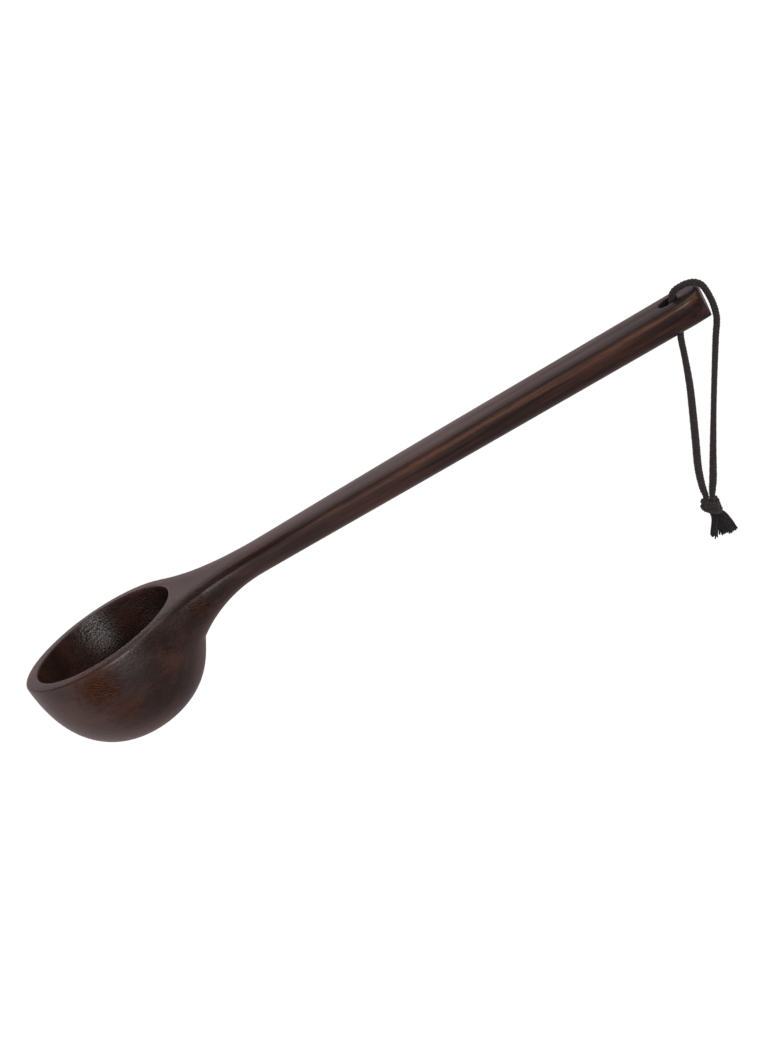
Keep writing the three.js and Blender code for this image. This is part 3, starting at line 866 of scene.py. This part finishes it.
def turned_mesh(name, profile, centre_u):
    """A closed turned shape; profile rows are (radius, w) from the lower axis point to the upper."""
    shape = bmesh.new()
    low = shape.verts.new(held(centre_u, 0, profile[0][1]))
    high = shape.verts.new(held(centre_u, 0, profile[-1][1]))
    rows = []
    for k in range(CUTTER_STEPS):
        turn = FULL_TURN * k / CUTTER_STEPS
        places = [(centre_u + r * cos(turn), r * sin(turn), w) for r, w in profile[1:-1]]
        rows.append([shape.verts.new(held(*place)) for place in places])
    for row, following in zip(rows, rows[1:] + rows[:1]):
        add_band(shape, row, following, len(row) - 1)
        shape.faces.new((low, row[0], following[0]))
        shape.faces.new((row[-1], high, following[-1]))
    return closed_mesh(name, shape)


def flared_mouth(radius):
    """The eased rim of a hole: from its straight wall out to the flat top and a little above."""
    rows = []
    for t in spread(0, 1, EDGE_STEPS):
        rows.append((radius + t**2 * HOLE_EASE, t**2 * MOUTH_ABOVE_TOP - (1 - t) ** 2 * HOLE_EASE))
    return [*rows, (radius + HOLE_EASE, CUTTER_ABOVE_TOP), (0, CUTTER_ABOVE_TOP)]


def hollow_mesh():
    rows = [(0, -HOLLOW_DEPTH)]
    lowest_angle = acos((HOLE_EASE / HOLLOW_DEPTH) ** (HOLLOW_FULLNESS / 2))
    for angle in spread(0, lowest_angle, HOLLOW_STEPS):
        r = HOLLOW_RADIUS * sin(angle) ** (2 / HOLLOW_FULLNESS)
        rows.append((r, -HOLLOW_DEPTH * cos(angle) ** (2 / HOLLOW_FULLNESS)))
    return turned_mesh("hollow", rows + flared_mouth(HOLLOW_RADIUS), 0)


def bore_mesh():
    rows = [(0, -2 * END_DEPTH), (HOLE_RADIUS, -2 * END_DEPTH), (HOLE_RADIUS, -HOLE_EASE)]
    return turned_mesh("cord hole", rows + flared_mouth(HOLE_RADIUS), HOLE_U)


def carved_ladle():
    blank = link_new("blank", blank_mesh())
    cutters = [link_new("hole cutter", bore_mesh()), link_new("hollow cutter", hollow_mesh())]
    for cutter in cutters:
        cut = blank.modifiers.new(cutter.name, "BOOLEAN")
        cut.operation = "DIFFERENCE"
        cut.solver = "EXACT"
        cut.object = cutter
    made = blank.evaluated_get(bpy.context.evaluated_depsgraph_get())
    piece = link_new("carved_ladle", bpy.data.meshes.new_from_object(made))
    for tool in [blank, *cutters]:
        bpy.data.objects.remove(tool)
    up = (held(0, 0, 1) - held(0, 0, 0)).normalized()
    for face in piece.data.polygons:
        face.use_smooth = face.normal.dot(up) < FLAT_COSINE
    piece.data.set_sharp_from_angle(angle=radians(SHARP_EDGE_DEG))
    return piece


ladle = carved_ladle()
print(f"ladle: {len(ladle.data.polygons)} faces")

# %% [markdown]
# Smoked hardwood under a satin lacquer
#
# Heat and stain have turned the wood nearly black, and a satin lacquer lies on it. So the eye gets a
# soft sheen on the flat top, a narrow light line along each shoulder, and only then the wood's brown.
# The figure is drawn in the ladle's own axes, because wood grain runs through the block along the
# handle: streaks and pores stretch along u, and become dots wherever the surface cuts across them.
# Then come the signs of making and use, and some painted light: warm flecked patches that took less
# stain, shoulders rubbed lighter that also carry a painted highlight, a dark dull edge beside the neck
# that is a painted dark reflection line, the cord hole painted nearly black as painted shade, and grain
# that water has raised. Each sign is a share from 0 to 1, and mixes its own colour and sheen in.

# %% Wood material
# Painted shade: the colour of the inside of the cord hole.
HOLE_PAINTED_SHADE = linear("#1f191a")
WOOD_DARK = linear("#1b0d0b")
WOOD_BROWN = linear("#3a1f16")
# Lighter brown of the rubbed shoulders, which also carries a painted highlight along them.
WOOD_RUBBED_AND_HIGHLIGHT = linear("#603a27")
WOOD_WARM = linear("#3f200c")
STREAK_MM = (45, 1.2, 1.2)
TONE_MM = (70, 14, 14)
PORE_MM = (6, 0.8, 0.8)
FLECK_SPACING_MM = 1.4
FLECK_BEND_MM = 3.5
FLECK_BREAK_MM = 3
RAGGED_MM = 8
RAISED_GRAIN_MM = 1.3
GRAIN_HEIGHT_MM = 0.25
RAISED_INSIDE = 0.9
WET_ROUGHNESS = 0.35
WAVE_PERIOD = 0.1 * pi
LIGHTEST_SHADE = 1.3
FLECKS = (0.85, 1.05)
OPEN_PORES = (0.58, 0.7, 0.0, 0.55)
HOLLOW_SKIN = (1.12, 1.07)
BELOW_RIM = (-0.5, -2.0)

# What changes along the ladle: from one place u to another, and from one value to another.
ALONG_LADLE = {
    "calm streaks": (20, 110, 0.5, 0.0),
    "darkest shade": (180, 330, 0.78, 0.95),
    "raised grain": (70, 150, 0.45, 0.1),
    "sheen": (100, 330, 0.6, 0.46),
    "least roughness": (60, 200, 0.4, 0.3),
}
# The limits of a share: a measure, the value where the share ends, and the value where it is full.
# The rubbed band is also a painted highlight: it lies where the shoulder catches the front light.
RUBBED_AND_HIGHLIGHT_MOST = 0.62
RUBBED_AND_HIGHLIGHT_SHOULDER = [
    ("w", -5.2, -2.3), ("w", -0.6, -1.7), ("u", 40, 290), ("aside", 7, 10), ("streaks", 0.25, 0.6),
]
# The dark edge beside the neck is a painted dark reflection line, in its colour and in its sheen.
NECK_EDGE_DARK_MOST = 0.75
NECK_EDGE_PAINTED_DARK = [("w", -4.5, -2.0), ("w", -0.3, -0.9), ("u", 32, 48), ("u", 135, 95)]
# Each warm patch has a middle (u, v, w), a radius and a share. Its core is warm throughout.
WARM_PATCHES = [
    ((-4, -46, -10), 18, 0.85),
    ((0, -42, -27), 15, 0.6),
    ((56, -19, -6), 11, 0.6),
    ((4, 37, -14), 14, 0.5),
    ((-26, 22, -18), 15, 0.3),
]
WARM_CORE = 0.2


def smoked_wood():
    """Stained hardwood with a satin lacquer: dark streaks along the grain, and warm flecked patches."""
    material = bpy.data.materials.new("smoked hardwood, satin lacquer")
    add = empty_nodes(material)
    per_mm = (1 / MM, 1 / MM, 1 / MM)
    place = add("ShaderNodeTexCoord").outputs["Object"]
    level = add(MAPPING, {"Vector": place, "Scale": per_mm})
    turned_back = {"Location": (GRIP_U, 0, -GRIP_BELOW_TOP), "Rotation": (0, HELD_TILT, 0)}
    own_axes = add(MAPPING, {"Vector": place, "Scale": per_mm} | turned_back)
    own = add("ShaderNodeSeparateXYZ", (own_axes,)).outputs
    at_u = {name: add(MAP_RANGE, (own["X"], *row)) for name, row in ALONG_LADLE.items()}

    # Long streaks, slow changes of tone, and short open pores, all stretched along the grain.
    figure = {}
    for name, size, detail in (("streaks", STREAK_MM, 5), ("tone", TONE_MM, 2), ("pores", PORE_MM, 1)):
        stretched = add(MAPPING, {"Vector": own_axes, "Scale": [1 / s for s in size]})
        grain = {"Vector": stretched, "Scale": 1.0, "Detail": detail, "Roughness": 0.6}
        figure[name] = add(NOISE, grain)

    # The turned bowl cuts across the streaks, which show there only faintly, and the handle darkens
    # towards its end.
    streaks = add(MIX, {"Factor": at_u["calm streaks"], "A": figure["streaks"], "B": 0.5})
    shade = add(MATH, (streaks, figure["tone"]), operation="ADD")
    lighter = add(MAP_RANGE, (shade, at_u["darkest shade"], LIGHTEST_SHADE), **SMOOTHLY)
    open_pore = add(MAP_RANGE, (figure["pores"], *OPEN_PORES), **SMOOTHLY)

    # Hands and cloths have rubbed the stain thin on the handle's shoulders, just below the top edge,
    # and this lighter band is also a painted highlight, where the shoulder catches the front light.
    # Beside the neck that edge is painted dark and given little sheen: a painted dark reflection line.
    aside = add(MATH, (own["Y"],), operation="ABSOLUTE")
    measures = {"u": own["X"], "w": own["Z"], "aside": aside, "streaks": figure["streaks"]}
    shares = []
    for share, limits in ((RUBBED_AND_HIGHLIGHT_MOST, RUBBED_AND_HIGHLIGHT_SHOULDER), (NECK_EDGE_DARK_MOST, NECK_EDGE_PAINTED_DARK)):
        for measure, none, full in limits:
            faded = add(MAP_RANGE, (measures[measure], none, full), **SMOOTHLY)
            share = add(MATH, (faded, share), **TIMES)
        shares.append(share)
    rubbed_and_highlight, neck_edge_painted_dark = shares

    # Where the curly figure of the wood took less stain, it is warmer, with thin dark wavy lines.
    broken = add(NOISE, {"Vector": level, "Scale": 1 / FLECK_BREAK_MM, "Detail": 2})
    warmth = 0.0
    for centre, radius, share in WARM_PATCHES:
        away = add(VECTOR_MATH, (own_axes, centre), operation="DISTANCE")
        ragged = add(MATH, (broken, 2 * RAGGED_MM, away), **TIMES_PLUS)
        limits = (radius + RAGGED_MM, WARM_CORE * radius + RAGGED_MM)
        patch = add(MAP_RANGE, (ragged, *limits, 0.0, share), **SMOOTHLY)
        warmth = add(MATH, (patch, warmth), operation="MAXIMUM")
    waves = {"Vector": level, "Scale": WAVE_PERIOD / FLECK_SPACING_MM, "Distortion": 9.0}
    bends = {"Detail": 2.0, "Detail Scale": FLECK_SPACING_MM / FLECK_BEND_MM / WAVE_PERIOD}
    curls = add("ShaderNodeTexWave", waves | bends, bands_direction="Z")
    light_fleck = add(MATH, (curls.outputs["Fac"], broken), operation="ADD")
    fleck = add(MAP_RANGE, (light_fleck, *FLECKS), **SMOOTHLY)
    flecked = add(MATH, (warmth, fleck), **TIMES)

    # The inside of the cord hole is painted nearly black, as painted shade in the hole.
    plan_place = add("ShaderNodeCombineXYZ", {"X": own["X"], "Y": own["Y"]})
    from_hole = add(VECTOR_MATH, (plan_place, (HOLE_U, 0, 0)), operation="DISTANCE")
    in_hole = add(MAP_RANGE, (from_hole, HOLE_RADIUS + HOLE_EASE, HOLE_RADIUS))
    colour = WOOD_DARK
    # Of these colours, the rubbed band also carries a painted highlight, and the neck edge and the hole
    # are painted dark.
    for share, there in (
        (lighter, WOOD_BROWN),
        (rubbed_and_highlight, WOOD_RUBBED_AND_HIGHLIGHT),
        (flecked, WOOD_WARM),
        (open_pore, WOOD_DARK),
        (neck_edge_painted_dark, WOOD_DARK),
        (in_hole, HOLE_PAINTED_SHADE),
    ):
        colour = add(MIX, {"Factor": share, "A": colour, "B": there}, data_type="RGBA")

    # The grain is sanded smooth on the handle, but water has raised it, a little on bowl and neck and
    # most in the hollow, where highlights break up into specks.
    hollow_size = (1 / HOLLOW_RADIUS, 1 / HOLLOW_RADIUS, 1 / HOLLOW_DEPTH)
    hollow_place = add(MAPPING, {"Vector": own_axes, "Scale": hollow_size})
    from_hollow = add(VECTOR_MATH, (hollow_place,), operation="LENGTH")
    near_hollow = add(MAP_RANGE, (from_hollow, *HOLLOW_SKIN))
    inside = add(MAP_RANGE, (own["Z"], *BELOW_RIM, 0.0, near_hollow))
    raised = add(MAP_RANGE, {"Value": inside, "To Min": at_u["raised grain"], "To Max": RAISED_INSIDE})
    specks = add(NOISE, {"Vector": own_axes, "Scale": 1 / RAISED_GRAIN_MM, "Detail": 2})
    height = add(MATH, (figure["streaks"], specks), operation="ADD")
    depth = GRAIN_HEIGHT_MM * MM
    relief = add("ShaderNodeBump", {"Height": height, "Strength": raised, "Distance": depth})

    # The lacquer is worn where the hand holds the handle and on its shoulders, thin on the warm
    # patches, and missing inside the cord hole. On the edge beside the neck the sheen is cut as well,
    # as part of the painted dark reflection line there.
    sheen = at_u["sheen"]
    for share, there in ((rubbed_and_highlight, 0.2), (neck_edge_painted_dark, 0.05), (warmth, 0.05), (in_hole, 0.0)):
        sheen = add(MAP_RANGE, {"Value": share, "To Min": sheen, "To Max": there})

    # Steam has dulled the lacquer outside the bowl and at the neck. Wet wood in the hollow is glossier.
    roughness = add(MAP_RANGE, (figure["streaks"], 0.3, 0.7, at_u["least roughness"], 0.46))
    wet = add(MAP_RANGE, {"Value": inside, "To Min": roughness, "To Max": WET_ROUGHNESS})
    lacquer = {"Roughness": wet, "IOR": 1.5, "Specular IOR Level": sheen}
    shader = add(PRINCIPLED, {"Base Color": colour, "Normal": relief} | lacquer)
    add("ShaderNodeOutputMaterial", {"Surface": shader})
    return material


ladle.data.materials.clear()
ladle.data.materials.append(smoked_wood())
print("material:", ladle.data.materials[0].name)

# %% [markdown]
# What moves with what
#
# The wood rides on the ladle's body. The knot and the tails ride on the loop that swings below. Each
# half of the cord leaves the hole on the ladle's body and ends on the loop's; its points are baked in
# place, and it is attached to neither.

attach(ladle, "ladle_body")
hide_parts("ladle")
for half in (cord_front, cord_rear):
    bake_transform(half)
for piece in (knot, tail_left, tail_right):
    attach(piece, "cord_loop")
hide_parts("cord_front_leg")
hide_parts("cord_rear_leg", "cord_over_end")
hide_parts("overhand_knot")
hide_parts("frayed_tail_left")
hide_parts("frayed_tail_right")

# %% [markdown]
# Floor and light
#
# The ladle is held up in front of white paper. The floor is well below it, so its soft shadow falls
# under the picture. One large soft light stands in front, low and a little to the right, and draws
# the light lines along the shoulders. A weak one hangs above, and the paper behind is what the flat
# top mirrors: it is brighter to the left, and ends at a slanting edge. The lacquer mirrors a dim room
# on the camera's side, so the wood's sides stay dark.

# %% Floor, lamps and white surroundings
FLOOR_DROP = 0.30
FLOOR_SIZE = 60
PAPER = linear("#cfcecd")
PAPER_GLOW = 0.22
MIRROR_TINT = linear("#ffe4e6")
WHITE = (1, 1, 1, 1)

# What the lacquer mirrors: from one place or direction to another, from one brightness to another.
MIRRORED_FLOOR = [
    ("X", -0.2, 0.15, 0.72, 0.21),
    ("Y", 0.0, 0.6, 0.0, 0.35),
    ("X", -0.6, -1.4, 0.0, 0.5),
]
MIRRORED_PAPER = [
    ("SMOOTHSTEP", "Y", 0.3, 0.95, 0.06, 1.0),
    ("LINEAR", "X", -0.46, -0.2, 1.6, 0.42),
    ("LINEAR", "Z", 0.0, 0.14, 0.8, 1.0),
    ("SMOOTHSTEP", "slant", 0.76, 0.87, 1.0, 0.05),
]
EDGE_SLANT = -1.6
OVERHEAD = (0.0, 1.0, 0.55, 0.95)


def paper_floor(level):
    mesh = bpy.data.meshes.new("floor")
    half = FLOOR_SIZE / 2
    corners = [(-half, -half, level), (half, -half, level), (half, half, level), (-half, half, level)]
    mesh.from_pydata(corners, [], [(0, 1, 2, 3)])
    material = bpy.data.materials.new("white paper")
    add = empty_nodes(material)
    ray = add("ShaderNodeLightPath").outputs
    seen = add(MATH, (ray["Is Camera Ray"], ray["Is Transmission Ray"]), operation="MAXIMUM")
    glow = add(MATH, (seen, PAPER_GLOW), **TIMES)
    matt = {"Base Color": PAPER, "Roughness": 0.9, "Specular IOR Level": 0.0}
    paper = add(PRINCIPLED, matt | {"Emission Color": WHITE, "Emission Strength": glow})
    place = add("ShaderNodeNewGeometry").outputs["Position"]
    parts = add("ShaderNodeSeparateXYZ", (place,)).outputs
    brightness = 0.0
    for way, *row in MIRRORED_FLOOR:
        share = add(MAP_RANGE, (parts[way], *row))
        brightness = add(MATH, (brightness, share), operation="ADD")
    mirrored = add("ShaderNodeEmission", {"Color": MIRROR_TINT, "Strength": brightness})
    either = add("ShaderNodeMixShader", (ray["Is Glossy Ray"], paper, mirrored))
    add("ShaderNodeOutputMaterial", {"Surface": either})
    mesh.materials.append(material)
    return link_new("floor", mesh)


def soft_sun(name, from_way, spread_deg, strength):
    """A distant light as wide as a softbox, so it lights the object and the whole floor evenly."""
    data = bpy.data.lights.new(name, "SUN")
    data.energy = strength
    data.angle = radians(spread_deg)
    lamp = link_new(name, data)
    lamp.rotation_euler = Vector(from_way).to_track_quat("Z", "Y").to_euler()


def white_room():
    scene.world = bpy.data.worlds.new("white room")
    add = empty_nodes(scene.world)
    ray = add("ShaderNodeLightPath").outputs
    way = add("ShaderNodeTexCoord").outputs["Generated"]
    parts = add("ShaderNodeSeparateXYZ", (way,)).outputs
    slant = add(MATH, (parts["X"], EDGE_SLANT, parts["Z"]), **TIMES_PLUS)
    measures = dict(parts.items()) | {"slant": slant}
    shares = []
    for steps, measure, *row in MIRRORED_PAPER:
        shares.append(add(MAP_RANGE, (measures[measure], *row), interpolation_type=steps))
    mirrored = shares[0]
    for share in shares[1:]:
        mirrored = add(MATH, (mirrored, share), **TIMES)
    overhead = add(MAP_RANGE, (parts["Z"], *OVERHEAD))
    lit = add(MIX, {"Factor": ray["Is Glossy Ray"], "A": overhead, "B": mirrored})
    seen = add(MATH, (ray["Is Camera Ray"], ray["Is Transmission Ray"]), operation="MAXIMUM")
    strength = add(MIX, {"Factor": seen, "A": lit, "B": 1.0})
    colour = add(MIX, {"Factor": ray["Is Glossy Ray"], "A": WHITE, "B": MIRROR_TINT}, data_type="RGBA")
    back = add("ShaderNodeBackground", {"Color": colour, "Strength": strength})
    add("ShaderNodeOutputWorld", {"Surface": back})


floor = paper_floor(cad_box[0][2] - FLOOR_DROP)
soft_sun("front softbox", from_way=(0.215, -0.932, 0.292), spread_deg=18, strength=1.7)
soft_sun("top softbox", from_way=(-0.1, 0.15, 1.0), spread_deg=70, strength=1.15)
white_room()
